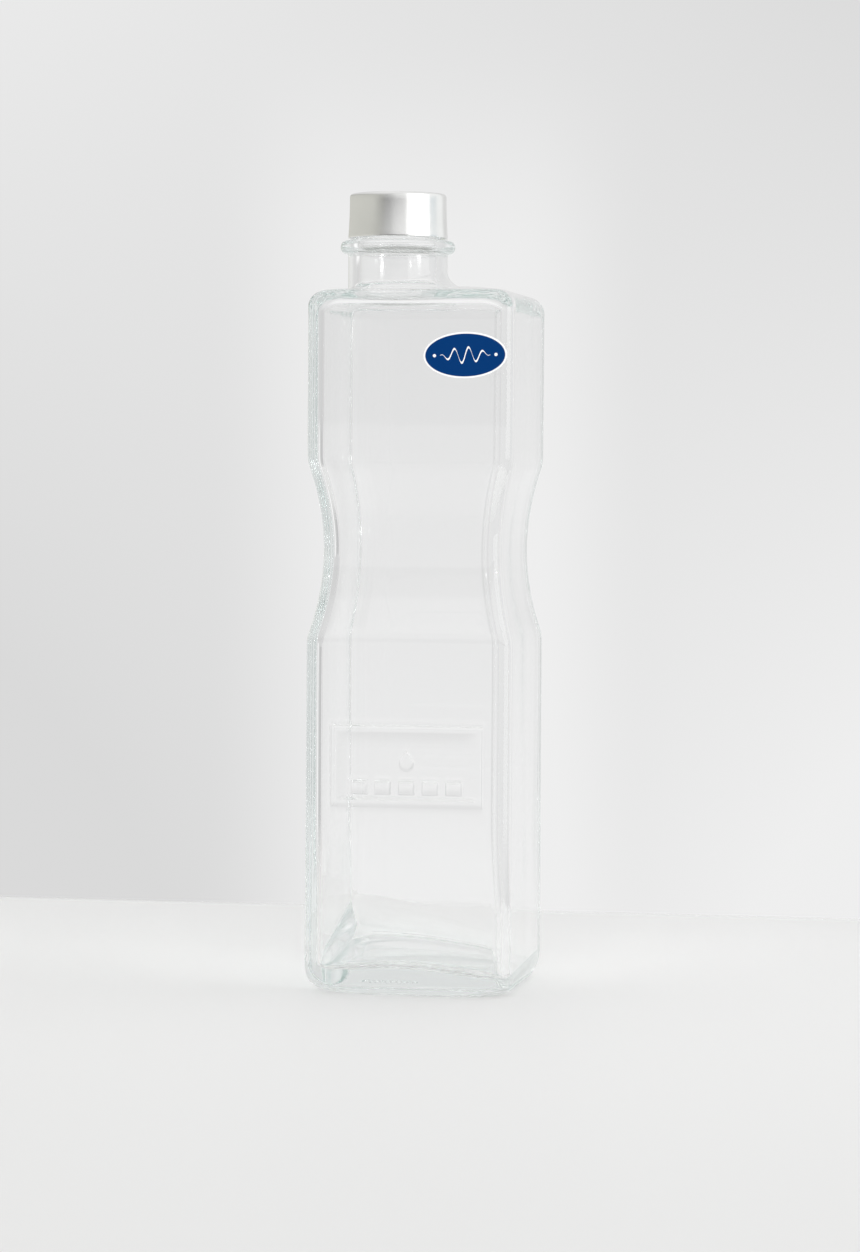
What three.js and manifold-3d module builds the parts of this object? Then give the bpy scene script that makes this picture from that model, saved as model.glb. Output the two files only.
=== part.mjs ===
// Square glass juice bottle with a pinched waist, an eccentric neck and an aluminium screw cap.
// Millimetres, +Z up. The origin is the centre of the base, on the surface that the bottle stands on.
// The face with the moulded panel and the oval label looks along -Y, and the neck stands off towards -X.

import * as THREE from 'three';
import { mergeVertices } from 'three/addons/utils/BufferGeometryUtils.js';
import Module from 'manifold-3d';

// Driving dimensions
const body = { width: 78.4, cornerRadius: 4, shoulderZ: 264.3, edgeRadius: 6.5 };
const waist = { centreZ: 166.5, halfLength: 33, depth: 5.3 };
const foot = { inset: 3.6, cornerRadius: 24, heelHeight: 10, ringWidth: 5 };
const recess = { rampWidth: 7, height: 2, dome: 1 };
const hollow = { wall: 3, cornerRadius: 6.5, edgeRadius: 4.5, shoulderWall: 4 };
const heel = { wall: 3.6, cornerRadius: 3.6, lean: 0.6, fromZ: 66, toZ: 26 };
const floor = { z: 12.6, tiltX: -0.095, tiltY: 0.1, twist: -0.0022, bow: -0.0022, cornerRadius: 14 };
const floorFilletShare = 0.5;
const neck = { offsetX: -12, radius: 19, bore: 15, shoulderSlope: 0.1 };
const root = { spread: 14, room: 0.4, rise: 0.68 };
const bead = { lowZ: 279.2, highZ: 284.1, radius: 21.9, nose: 1.3 };
const finish = { radius: 16.6, lipRound: 0.8 };
const cap = { radius: 19, lowZ: 285, highZ: 302, skirt: 1.1, top: 1.2, edgeRadius: 1.3, flare: 0.55 };
const panel = { width: 58, height: 31, centreZ: 86, band: 2.8, cornerRadius: 0.6, relief: 0.9 };
const tablets = { count: 5, width: 6.4, height: 5.6, gap: 2.6, drop: -8, cornerRadius: 0.6 };
const droplet = { height: 8.4, radius: 2.9, rise: 1.2 };
const label = { width: 31.5, height: 17.2, thickness: 0.12, gap: 0.05, x: 21.3, z: 239.5, tiltDegrees: 1.2 };

// Facets of each ring: along a flat face, round a corner, and so round the whole ring
const FACE_STEPS = 6;
const CORNER_STEPS = 6;
const RING_STEPS = 4 * (FACE_STEPS + CORNER_STEPS);
const WAIST_STEPS = 10;
const RAMP_STEPS = 3;
const HEEL_STEPS = 5;
const FILLET_STEPS = 4;
const SHOULDER_STEPS = 3;
const THICKENING_STEPS = 4;
const FLOOR_STEPS = 3;
const SKIRT_STEPS = 3;
const CAP_EDGE_STEPS = 5;
const OVAL_STEPS = 28;
const RELIEF_CURVE_STEPS = 8;
const RELIEF_ROOT = 0.6;
const MOST_ROOM = 0.95;
const LEAST_SHARE = 1e-3;
const MERGE_DISTANCE = 1e-4;

const halfWidth = body.width / 2;
const lipZ = cap.highZ - cap.top;

// A rounded square about the body's axis, counter-clockwise from the middle of the +X face
function squareOutline(half, radius) {
  const flat = half - radius;
  const quarter = [];
  for (let i = 0; i < FACE_STEPS / 2; i++) {
    quarter.push([half, (flat * i) / (FACE_STEPS / 2)]);
  }
  for (let i = 0; i < CORNER_STEPS; i++) {
    const turn = (Math.PI / 2) * (i / CORNER_STEPS);
    quarter.push([flat + radius * Math.cos(turn), flat + radius * Math.sin(turn)]);
  }
  for (let i = 0; i < FACE_STEPS / 2; i++) {
    quarter.push([flat * (1 - i / (FACE_STEPS / 2)), half]);
  }
  const turned = [
    ([x, y]) => [x, y],
    ([x, y]) => [-y, x],
    ([x, y]) => [-x, -y],
    ([x, y]) => [y, -x],
  ];
  return turned.flatMap((turn) => quarter.map(turn));
}

// A ring about the neck's axis from its radius at each point, in the order of a square outline
function neckOutline(radii) {
  return radii.map((radius, i) => {
    const turn = (2 * Math.PI * i) / RING_STEPS;
    return [neck.offsetX + radius * Math.cos(turn), radius * Math.sin(turn)];
  });
}

const lift = (outline, z) => outline.map(([x, y]) => new THREE.Vector3(x, y, z));

const blendOutlines = (from, to, share) =>
  from.map(([x, y], i) => [
    THREE.MathUtils.lerp(x, to[i][0], share),
    THREE.MathUtils.lerp(y, to[i][1], share),
  ]);

// How far the waist pulls a face in at height z: one circular arc, deepest at its centre
function waistPull(z) {
  const reach = Math.abs(z - waist.centreZ);
  if (reach >= waist.halfLength) return 0;
  const arcRadius = (waist.halfLength ** 2 + waist.depth ** 2) / (2 * waist.depth);
  return Math.sqrt(arcRadius ** 2 - reach ** 2) - (arcRadius - waist.depth);
}

// The heights of the waist's rings, from its lower end to its upper end
const waistHeights = Array.from(
  { length: WAIST_STEPS + 1 },
  (_, i) => waist.centreZ + waist.halfLength * ((2 * i) / WAIST_STEPS - 1),
);

// The smaller of two lengths, with a smooth passage from one to the other
const softLeast = (first, second) => (first ** -4 + second ** -4) ** -0.25;

// How far a square's sides lie from the neck's axis, straight out at each point of a ring
function neckReach(half) {
  return Array.from({ length: RING_STEPS }, (_, i) => {
    const turn = (2 * Math.PI * i) / RING_STEPS;
    const across = Math.cos(turn);
    const toSide = (half - neck.offsetX * Math.sign(across)) / Math.max(Math.abs(across), LEAST_SHARE);
    const toFront = half / Math.max(Math.abs(Math.sin(turn)), LEAST_SHARE);
    return softLeast(toSide, toFront);
  });
}

// The shoulder's rings, from the rounded top edge of the body up its slope and into the neck wall.
// The neck's root spreads furthest, and stands highest, where the shoulder has most room for it.
// An inner surface lies a wall's depth lower, and its root joins the bore.
function shoulderRings({ half, radius, edgeRadius, depth, wallRadius }) {
  const lean = Math.atan((neck.shoulderSlope * Math.PI) / 2);
  const lowZ = body.shoulderZ - depth - edgeRadius * (1 - Math.cos(lean));
  const rings = [];
  for (let i = 0; i <= FILLET_STEPS; i++) {
    const turn = (Math.PI / 2 - lean) * (i / FILLET_STEPS);
    const inset = edgeRadius * (1 - Math.cos(turn));
    const z = lowZ - edgeRadius * (Math.cos(lean) - Math.sin(turn));
    rings.push(lift(squareOutline(half - inset, radius), z));
  }
  const edge = squareOutline(half - edgeRadius * (1 - Math.sin(lean)), radius);
  const reach = neckReach(halfWidth - body.edgeRadius);
  const outerSpread = reach.map((out) => softLeast(root.spread, root.room * (out - neck.radius)));
  const rise = reach.map((out, i) => neck.shoulderSlope * (out - neck.radius - outerSpread[i]));
  const climb = outerSpread.map((spread) => root.rise * spread + depth);
  const room = neckReach(half - edgeRadius).map((out) => out - wallRadius);
  const spreads = outerSpread.map((spread, i) =>
    depth > 0 ? softLeast(MOST_ROOM * room[i], spread + neck.radius - wallRadius) : spread,
  );
  const rootOutline = neckOutline(spreads.map((spread) => wallRadius + spread));
  for (let i = 1; i <= SHOULDER_STEPS; i++) {
    const share = i / SHOULDER_STEPS;
    const eased = Math.sin((share * Math.PI) / 2);
    const outline = blendOutlines(edge, rootOutline, share);
    rings.push(outline.map(([x, y], k) => new THREE.Vector3(x, y, lowZ + rise[k] * eased)));
  }
  for (let i = 1; i <= FILLET_STEPS; i++) {
    const turn = (Math.PI / 2) * (i / FILLET_STEPS);
    const outline = neckOutline(spreads.map((spread) => wallRadius + spread * (1 - Math.sin(turn))));
    const lifted = 1 - Math.cos(turn);
    rings.push(outline.map(([x, y], k) => new THREE.Vector3(x, y, lowZ + rise[k] + climb[k] * lifted)));
  }
  return rings;
}

// The underside and heel: a recessed centre, a flat contact ring and a heel that grows square upwards
function baseRings() {
  const footHalf = halfWidth - foot.inset;
  const contact = squareOutline(footHalf, foot.cornerRadius);
  const ringInside = squareOutline(footHalf - foot.ringWidth, foot.cornerRadius - foot.ringWidth);
  const inset = foot.ringWidth + recess.rampWidth;
  const crown = squareOutline(footHalf - inset, foot.cornerRadius - inset);
  const rings = [];
  for (let i = RAMP_STEPS; i > 0; i--) {
    const share = i / RAMP_STEPS;
    const eased = THREE.MathUtils.smoothstep(share, 0, 1);
    rings.push(lift(blendOutlines(ringInside, crown, share), recess.height * eased));
  }
  rings.push(lift(ringInside, 0), lift(contact, 0));
  const square = squareOutline(halfWidth, body.cornerRadius);
  for (let i = 1; i <= HEEL_STEPS; i++) {
    const turn = (Math.PI / 2) * (i / HEEL_STEPS);
    const outline = blendOutlines(contact, square, Math.sin(turn));
    rings.push(lift(outline, foot.heelHeight * (1 - Math.cos(turn))));
  }
  return rings;
}

// The neck above the shoulder: transfer bead, finish under the cap, and the lip round to the bore
function neckRings() {
  const ring = (radius, z) => lift(neckOutline(Array(RING_STEPS).fill(radius)), z);
  return [
    ring(neck.radius, bead.lowZ),
    ring(bead.radius - bead.nose, bead.lowZ + bead.nose / 2),
    ring(bead.radius, bead.lowZ + 2 * bead.nose),
    ring(bead.radius - bead.nose / 4, bead.highZ - bead.nose / 2),
    ring(bead.radius - bead.nose, bead.highZ),
    ring(finish.radius, bead.highZ),
    ring(finish.radius, lipZ - finish.lipRound),
    ring(finish.radius - finish.lipRound, lipZ),
    ring(neck.bore + finish.lipRound, lipZ),
    ring(neck.bore, lipZ - finish.lipRound),
  ];
}

// The hollow's outline, whose walls thicken towards the heel and lean to one side there.
// The bowl share passes from the walls' corner radius to the floor's.
function hollowOutline(z, insets, bowl) {
  const share = 1 - THREE.MathUtils.smoothstep(z, heel.toZ, heel.fromZ);
  const wall = THREE.MathUtils.lerp(hollow.wall, heel.wall, share) + waistPull(z);
  const wallCorner = THREE.MathUtils.lerp(hollow.cornerRadius, heel.cornerRadius, share);
  const radius = THREE.MathUtils.lerp(wallCorner, floor.cornerRadius, bowl);
  return insets.map((inset, i) => {
    const [x, y] = squareOutline(halfWidth - wall - inset, radius)[i];
    return [x + heel.lean * share, y];
  });
}

// The height of the hollow's sloping, slightly twisted floor
function floorHeight([x, y]) {
  return floor.z + floor.tiltX * x + floor.tiltY * y + floor.twist * x * y + floor.bow * x * x;
}

// The hollow, from the bore down its walls and over the fillet to the floor
function hollowRings() {
  const plain = Array(RING_STEPS).fill(0);
  const down = shoulderRings({
    half: halfWidth - hollow.wall,
    radius: hollow.cornerRadius,
    edgeRadius: hollow.edgeRadius,
    depth: hollow.shoulderWall,
    wallRadius: neck.bore,
  }).reverse();
  const heights = [...waistHeights].reverse();
  for (let i = 0; i < THICKENING_STEPS; i++) {
    heights.push(THREE.MathUtils.lerp(heel.fromZ, heel.toZ, i / THICKENING_STEPS));
  }
  const walls = heights.map((z) => lift(hollowOutline(z, plain, 0), z));
  const fillets = hollowOutline(heel.toZ, plain, 0).map((point) => floorFilletShare * floorHeight(point));
  const floorRings = [];
  for (let i = 0; i <= FILLET_STEPS; i++) {
    const turn = (Math.PI / 2) * (i / FILLET_STEPS);
    const insets = fillets.map((fillet) => fillet * (1 - Math.cos(turn)));
    const outline = hollowOutline(heel.toZ, insets, 1 - Math.cos(turn));
    const lifted = 1 - Math.sin(turn);
    floorRings.push(
      outline.map(([x, y], k) => new THREE.Vector3(x, y, floorHeight([x, y]) + fillets[k] * lifted)),
    );
  }
  const edge = hollowOutline(heel.toZ, fillets, 1);
  for (let i = FLOOR_STEPS - 1; i > 0; i--) {
    const outline = edge.map(([x, y]) => [(x * i) / FLOOR_STEPS, (y * i) / FLOOR_STEPS]);
    floorRings.push(outline.map(([x, y]) => new THREE.Vector3(x, y, floorHeight([x, y]))));
  }
  return [...down, ...walls, ...floorRings];
}

// A closed skin through rings that all have RING_STEPS points, with a single point at each end
function skinGeometry(rings, firstPoint, lastPoint) {
  const points = [firstPoint, ...rings.flat(), lastPoint];
  const at = (ring, i) => 1 + ring * RING_STEPS + (i % RING_STEPS);
  const faces = [];
  for (let i = 0; i < RING_STEPS; i++) {
    faces.push(0, at(0, i + 1), at(0, i));
    faces.push(points.length - 1, at(rings.length - 1, i), at(rings.length - 1, i + 1));
  }
  for (let ring = 0; ring + 1 < rings.length; ring++) {
    for (let i = 0; i < RING_STEPS; i++) {
      faces.push(at(ring, i), at(ring, i + 1), at(ring + 1, i + 1));
      faces.push(at(ring, i), at(ring + 1, i + 1), at(ring + 1, i));
    }
  }
  return new THREE.BufferGeometry().setFromPoints(points).setIndex(faces);
}

// A flat shape drawn with its y axis upwards, raised from the front face by the panel's relief
function reliefGeometry(shape, z) {
  const geometry = new THREE.ExtrudeGeometry(shape, {
    depth: panel.relief + RELIEF_ROOT,
    bevelEnabled: false,
    curveSegments: RELIEF_CURVE_STEPS,
  });
  return geometry.rotateX(Math.PI / 2).translate(0, RELIEF_ROOT - halfWidth, z);
}

function roundedRectangle(target, width, height, radius) {
  const [x, y] = [width / 2, height / 2];
  target.moveTo(-x + radius, -y);
  target.lineTo(x - radius, -y);
  target.absarc(x - radius, -y + radius, radius, -Math.PI / 2, 0);
  target.lineTo(x, y - radius);
  target.absarc(x - radius, y - radius, radius, 0, Math.PI / 2);
  target.lineTo(-x + radius, y);
  target.absarc(-x + radius, y - radius, radius, Math.PI / 2, Math.PI);
  target.lineTo(-x, -y + radius);
  target.absarc(-x + radius, -y + radius, radius, Math.PI, 1.5 * Math.PI);
  return target;
}

// The moulded panel: a border, one drop above its middle, and a row of plain tablets below
function panelShapes() {
  const border = roundedRectangle(new THREE.Shape(), panel.width, panel.height, panel.cornerRadius);
  const inside = roundedRectangle(
    new THREE.Path(),
    panel.width - 2 * panel.band,
    panel.height - 2 * panel.band,
    panel.cornerRadius / 2,
  );
  border.holes.push(inside);
  const shapes = [{ shape: border, x: 0, z: 0 }];

  const drop = new THREE.Shape();
  const tangent = Math.asin(droplet.radius / (droplet.height - droplet.radius));
  drop.absarc(0, 0, droplet.radius, Math.PI - tangent, 2 * Math.PI + tangent);
  drop.lineTo(0, droplet.height - droplet.radius);
  shapes.push({ shape: drop, x: 0, z: droplet.rise });

  for (let i = 0; i < tablets.count; i++) {
    const tablet = roundedRectangle(
      new THREE.Shape(),
      tablets.width,
      tablets.height,
      tablets.cornerRadius,
    );
    const x = (i - (tablets.count - 1) / 2) * (tablets.width + tablets.gap);
    shapes.push({ shape: tablet, x, z: tablets.drop });
  }
  return shapes;
}

// Booleans on closed geometries
const wasm = await Module();
wasm.setup();

function toSolid(geometry) {
  const bare = geometry.clone();
  bare.deleteAttribute('normal');
  bare.deleteAttribute('uv');
  const merged = mergeVertices(bare, MERGE_DISTANCE);
  return new wasm.Manifold(
    new wasm.Mesh({
      numProp: 3,
      vertProperties: new Float32Array(merged.attributes.position.array),
      triVerts: new Uint32Array(merged.index.array),
    }),
  );
}

function toGeometry(solid) {
  const mesh = solid.getMesh();
  const geometry = new THREE.BufferGeometry();
  geometry.setAttribute('position', new THREE.BufferAttribute(mesh.vertProperties, 3));
  geometry.setIndex(new THREE.BufferAttribute(mesh.triVerts, 1));
  geometry.computeVertexNormals();
  return geometry;
}

function bottleGeometry() {
  const rings = [
    ...baseRings(),
    ...waistHeights.map((z) => lift(squareOutline(halfWidth - waistPull(z), body.cornerRadius), z)),
    ...shoulderRings({
      half: halfWidth,
      radius: body.cornerRadius,
      edgeRadius: body.edgeRadius,
      depth: 0,
      wallRadius: neck.radius,
    }),
    ...neckRings(),
    ...hollowRings(),
  ];
  const under = new THREE.Vector3(0, 0, recess.height + recess.dome);
  const floorMiddle = new THREE.Vector3(0, 0, floor.z);
  let solid = toSolid(skinGeometry(rings, under, floorMiddle));
  for (const { shape, x, z } of panelShapes()) {
    const raised = reliefGeometry(shape, panel.centreZ + z).translate(x, 0, 0);
    solid = solid.add(toSolid(raised));
  }
  return toGeometry(solid);
}

// The cap is a drawn cup: a rounded top edge, a skirt that flares towards its rim, and the lip inside
function capGeometry() {
  const crown = cap.radius - cap.flare;
  const bore = crown - cap.skirt;
  const skirtZ = cap.highZ - cap.edgeRadius;
  const profile = new THREE.Path();
  profile.moveTo(0, cap.highZ);
  profile.lineTo(crown - cap.edgeRadius, cap.highZ);
  profile.absarc(crown - cap.edgeRadius, skirtZ, cap.edgeRadius, Math.PI / 2, 0, true);
  for (let i = 1; i <= SKIRT_STEPS; i++) {
    const share = i / SKIRT_STEPS;
    profile.lineTo(crown + cap.flare * share ** 2, THREE.MathUtils.lerp(skirtZ, cap.lowZ, share));
  }
  profile.lineTo(bore, cap.lowZ);
  profile.lineTo(bore, lipZ);
  profile.lineTo(0, lipZ);
  const points = profile.getPoints(CAP_EDGE_STEPS).reverse();
  return new THREE.LatheGeometry(points, RING_STEPS).rotateX(Math.PI / 2);
}

// The label is a thin oval that lies on the flat front face
function labelGeometry() {
  const oval = new THREE.Shape();
  oval.absellipse(0, 0, label.width / 2, label.height / 2, 0, 2 * Math.PI);
  const plate = new THREE.ExtrudeGeometry(oval, {
    depth: label.thickness,
    bevelEnabled: false,
    curveSegments: OVAL_STEPS,
  });
  return plate.rotateX(Math.PI / 2);
}

const finishes = {
  glass: { color: 0xe4ece8, roughness: 0.03, metalness: 0, transparent: true, opacity: 0.35 },
  aluminium: { color: 0xc9cac8, roughness: 0.32, metalness: 1 },
  print: { color: 0x06316d, roughness: 0.35, metalness: 0 },
};

function namedMesh(name, geometry, surface) {
  const mesh = new THREE.Mesh(geometry, new THREE.MeshStandardMaterial(surface));
  mesh.name = name;
  return mesh;
}

const bottle = namedMesh('bottle', bottleGeometry(), finishes.glass);

const screwCap = namedMesh('cap', capGeometry(), finishes.aluminium);
screwCap.position.x = neck.offsetX;

const ovalLabel = namedMesh('label', labelGeometry(), finishes.print);
ovalLabel.position.set(label.x, -halfWidth - label.gap, label.z);
ovalLabel.rotation.y = THREE.MathUtils.degToRad(-label.tiltDegrees);

const juiceBottle = new THREE.Group();
juiceBottle.add(bottle, screwCap, ovalLabel);

export default juiceBottle;
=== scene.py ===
# Square juice bottle of clear glass, with an aluminium screw cap, a moulded panel and an oval label.
# Sizes are millimetres in the bottle's own frame, +Z up, and become metres when a mesh is made.
import logging
import math
from dataclasses import dataclass, field
from enum import Enum
from functools import cache
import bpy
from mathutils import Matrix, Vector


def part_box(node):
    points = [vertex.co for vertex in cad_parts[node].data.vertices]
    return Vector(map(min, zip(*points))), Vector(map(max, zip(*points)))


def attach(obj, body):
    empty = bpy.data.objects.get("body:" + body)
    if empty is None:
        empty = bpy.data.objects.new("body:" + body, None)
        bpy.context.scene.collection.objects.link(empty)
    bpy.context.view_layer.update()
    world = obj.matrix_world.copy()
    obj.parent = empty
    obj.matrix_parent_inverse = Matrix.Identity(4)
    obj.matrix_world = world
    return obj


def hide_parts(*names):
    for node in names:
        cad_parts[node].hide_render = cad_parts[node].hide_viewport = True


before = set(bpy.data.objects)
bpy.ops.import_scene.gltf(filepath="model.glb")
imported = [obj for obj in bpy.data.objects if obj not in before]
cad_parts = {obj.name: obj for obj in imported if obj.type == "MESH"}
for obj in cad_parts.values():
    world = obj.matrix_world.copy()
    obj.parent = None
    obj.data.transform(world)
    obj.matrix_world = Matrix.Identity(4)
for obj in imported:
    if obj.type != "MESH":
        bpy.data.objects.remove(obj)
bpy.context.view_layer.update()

from types import SimpleNamespace

import bmesh
import bpy
import numpy as np
from bpy.types import Collection, Material, Mesh, NodeSocket, NodeTree, Object
from mathutils import Matrix, Vector

MM = 0.001
ROOT = "root"
BOUNCES = 200
QUARTER_TURN = math.pi / 2
SHARPNESS = 4.0
WHITE = (1.0, 1.0, 1.0, 1.0)

Color = tuple[float, float, float, float]
Point = tuple[float, float]
Length = float | np.ndarray
TreeNode = bpy.types.Node

log = logging.getLogger("juice_bottle")


class Node(str, Enum):
    """The solids of the frame, by the names that they have there."""

    BOTTLE = "bottle"
    CAP = "cap"
    LABEL = "label"


class Slot(str, Enum):
    """The material slots of the part's record."""

    GLASS = "glass"
    CAP_METAL = "cap_metal"
    LABEL_PRINT = "label_print"


class TreeKind(str, Enum):
    """The two kinds of node group that the script builds."""

    SHADER = "ShaderNodeTree"
    GEOMETRY = "GeometryNodeTree"


def node_box(node: Node) -> tuple[Vector, Vector]:
    """Read the lowest and highest corners of one solid of the frame, in millimetres."""
    low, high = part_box(node.value)
    return low / MM, high / MM


def shares(steps: int) -> np.ndarray:
    """Give how much of a way is done after each of its equal steps."""
    return np.linspace(0.0, 1.0, steps + 1)[1:]


def eased(share: Length) -> Length:
    """Ease a share at both its ends."""
    return share * share * (3 - 2 * share)


def soft_least(first: Length, second: np.ndarray) -> np.ndarray:
    """Give the smaller of two lengths, passing smoothly from one to the other."""
    return (first**-SHARPNESS + second**-SHARPNESS) ** (-1 / SHARPNESS)


def arc(middle: Point, across: float, up: float, turns: np.ndarray) -> list[Point]:
    """Draw part of an oval round a middle, with a point for each turn in degrees."""
    x, y = middle
    return [(x + across * math.cos(turn), y + up * math.sin(turn)) for turn in np.radians(turns)]


@dataclass(frozen=True)
class Signal:
    """A number that flows through a node tree, so that a rule reads like plain arithmetic."""

    tree: NodeTree
    socket: NodeSocket

    def math(self, operation: str, *others: "Signal | float") -> "Signal":
        """Pass this number through a Math node.

        Args:
            operation: The node's operation.
            others: The further numbers that the operation takes.

        Returns:
            The node's result.
        """
        node = add_node(self.tree, "ShaderNodeMath", operation=operation)
        for place, value in zip(node.inputs, (self, *others)):
            plug(self.tree, value, place)
        return Signal(self.tree, node.outputs[0])

    def __add__(self, other: "Signal | float") -> "Signal":
        """Add a number."""
        return self.math("ADD", other)

    def __sub__(self, other: "Signal | float") -> "Signal":
        """Take a number away."""
        return self.math("SUBTRACT", other)

    def __mul__(self, other: "Signal | float") -> "Signal":
        """Multiply by a number."""
        return self.math("MULTIPLY", other)

    def __truediv__(self, other: "Signal | float") -> "Signal":
        """Divide by a number."""
        return self.math("DIVIDE", other)

    def size(self) -> "Signal":
        """Give the number without its sign."""
        return self.math("ABSOLUTE")

    def least(self, other: "Signal | float") -> "Signal":
        """Give the smaller of two numbers."""
        return self.math("MINIMUM", other)

    def most(self, other: "Signal | float") -> "Signal":
        """Give the larger of two numbers."""
        return self.math("MAXIMUM", other)

    def squared(self) -> "Signal":
        """Multiply the number by itself."""
        return self.math("POWER", 2.0)

    def span(self, other: "Signal") -> "Signal":
        """Give the distance that two lengths at right angles make."""
        return (self.squared() + other.squared()).math("SQRT")

    def rest(self) -> "Signal":
        """Give what the number lacks to one."""
        return self * -1.0 + 1.0

    def within(self, limit: "Signal | float") -> "Signal":
        """Give one where the number lies nearer to nought than a limit, and nought elsewhere."""
        return self.size().math("LESS_THAN", limit)

    def repeated(self, pitch: "Signal") -> "Signal":
        """Measure from the nearest of a row of middles, one pitch apart."""
        return self.math("WRAP", pitch * 0.5, pitch * -0.5)

    def fade(self, start: "Signal | float", end: "Signal | float") -> "Signal":
        """Rise smoothly from nought at one value to one at another.

        Args:
            start: The value at which the result is nought.
            end: The value at which the result is one.

        Returns:
            The smooth step between them.
        """
        node = add_node(self.tree, "ShaderNodeMapRange", Value=self, From_Min=start, From_Max=end)
        node.interpolation_type = "SMOOTHSTEP"
        return Signal(self.tree, node.outputs["Result"])


def plug(tree: NodeTree, value: object, place: NodeSocket) -> None:
    """Feed a socket from another node, or set it to a constant.

    Args:
        tree: The tree that holds the socket.
        value: A signal, a socket, a node for its first output, or a constant.
        place: The socket that takes it.
    """
    if isinstance(value, TreeNode):
        value = value.outputs[0]
    if isinstance(value, Signal):
        value = value.socket
    if isinstance(value, NodeSocket):
        tree.links.new(value, place)
    else:
        place.default_value = value


def add_node(tree: NodeTree, kind: str, **values: object) -> TreeNode:
    """Add a node and fill its sockets.

    Args:
        tree: The tree that takes the node.
        kind: The node's Blender type.
        values: The node's own settings, in small letters, and then what each socket gets, by its
            name with spaces as underscores.

    Returns:
        The new node.
    """
    node = tree.nodes.new(kind)
    for name, value in values.items():
        if name.islower():
            setattr(node, name, value)
        else:
            plug(tree, value, node.inputs[name.replace("_", " ")])
    return node


def split_xyz(tree: NodeTree, vector: object) -> tuple[Signal, ...]:
    """Take a vector apart into its three numbers."""
    node = add_node(tree, "ShaderNodeSeparateXYZ", Vector=vector)
    return tuple(Signal(tree, socket) for socket in node.outputs)


def box_reach(across: Signal, up: Signal, width: Signal, height: Signal) -> Signal:
    """Measure how far a point lies outside a flat box about nought: it is below nought inside."""
    return (across.size() - width * 0.5).most(up.size() - height * 0.5)


def mix_colors(tree: NodeTree, share: object, first: Color, second: Color) -> NodeSocket:
    """Blend two colours.

    Args:
        tree: The tree to work in.
        share: How much of the second one shows.
        first: The colour at nought.
        second: The colour at one.

    Returns:
        The socket that gives the blend.
    """
    node = add_node(tree, "ShaderNodeMix", data_type="RGBA")
    for place, value in ((0, share), (6, first), (7, second)):
        plug(tree, value, node.inputs[place])
    return node.outputs[2]


def mix_shaders(tree: NodeTree, share: object, first: TreeNode, second: TreeNode) -> TreeNode:
    """Blend two shaders.

    Args:
        tree: The tree to work in.
        share: How much of the second one shows.
        first: The shader at nought.
        second: The shader at one.

    Returns:
        The node that gives the blend.
    """
    node = tree.nodes.new("ShaderNodeMixShader")
    for place, value in zip(node.inputs, (share, first, second)):
        plug(tree, value, place)
    return node


def new_group(
    name: str, kind: TreeKind, inputs: dict[str, tuple[str, object]], outputs: dict[str, str]
) -> tuple[NodeTree, TreeNode, TreeNode]:
    """Start a node group with named inputs and outputs.

    Args:
        name: The group's name.
        kind: Whether it shades or shapes.
        inputs: For each input, its kind of socket and its first value, or None where it has none.
        outputs: For each output, its kind of socket.

    Returns:
        The group, and its nodes for what comes in and what goes out.
    """
    tree = bpy.data.node_groups.new(name, kind.value)
    for label, (socket_type, value) in inputs.items():
        socket = tree.interface.new_socket(label, in_out="INPUT", socket_type=f"NodeSocket{socket_type}")
        if value is not None:
            socket.default_value = value
    for label, socket_type in outputs.items():
        tree.interface.new_socket(label, in_out="OUTPUT", socket_type=f"NodeSocket{socket_type}")
    return tree, tree.nodes.new("NodeGroupInput"), tree.nodes.new("NodeGroupOutput")


def end_shape(tree: NodeTree, source: TreeNode, sink: TreeNode, shape: TreeNode) -> None:
    """End a geometry group: make its instances real and give them their material.

    Args:
        tree: The geometry group.
        source: Its node for what comes in.
        sink: Its node for what goes out.
        shape: The node that gives the shape.
    """
    real = add_node(tree, "GeometryNodeRealizeInstances", Geometry=shape)
    material = source.outputs["Material"]
    dressed = add_node(tree, "GeometryNodeSetMaterial", Geometry=real, Material=material)
    plug(tree, dressed, sink.inputs["Geometry"])


def place_object(name: str, mesh: bpy.types.ID) -> Object:
    """Put a mesh, a lamp or a camera into the scene as an object at the origin.

    Args:
        name: The object's name.
        mesh: The mesh, lamp or camera.

    Returns:
        The new object.
    """
    piece = bpy.data.objects.new(name, mesh)
    bpy.context.scene.collection.objects.link(piece)
    return piece


def shape_by_nodes(piece: Object, tree: NodeTree, values: dict[str, object]) -> None:
    """Run a geometry tree on an object and keep the result as its plain mesh.

    Args:
        piece: The object whose mesh goes into the tree.
        tree: The geometry node group.
        values: The group's inputs, by their names.
    """
    modifier = piece.modifiers.new(tree.name, "NODES")
    modifier.node_group = tree
    for item in tree.interface.items_tree:
        if item.item_type == "SOCKET" and item.in_out == "INPUT" and item.name in values:
            modifier[item.identifier] = values[item.name]
    depsgraph = bpy.context.evaluated_depsgraph_get()
    shaped = bpy.data.meshes.new_from_object(piece.evaluated_get(depsgraph), depsgraph=depsgraph)
    piece.modifiers.clear()
    old = piece.data
    piece.data = shaped
    bpy.data.meshes.remove(old)
    shaped.name = piece.name


# Finishes


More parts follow.
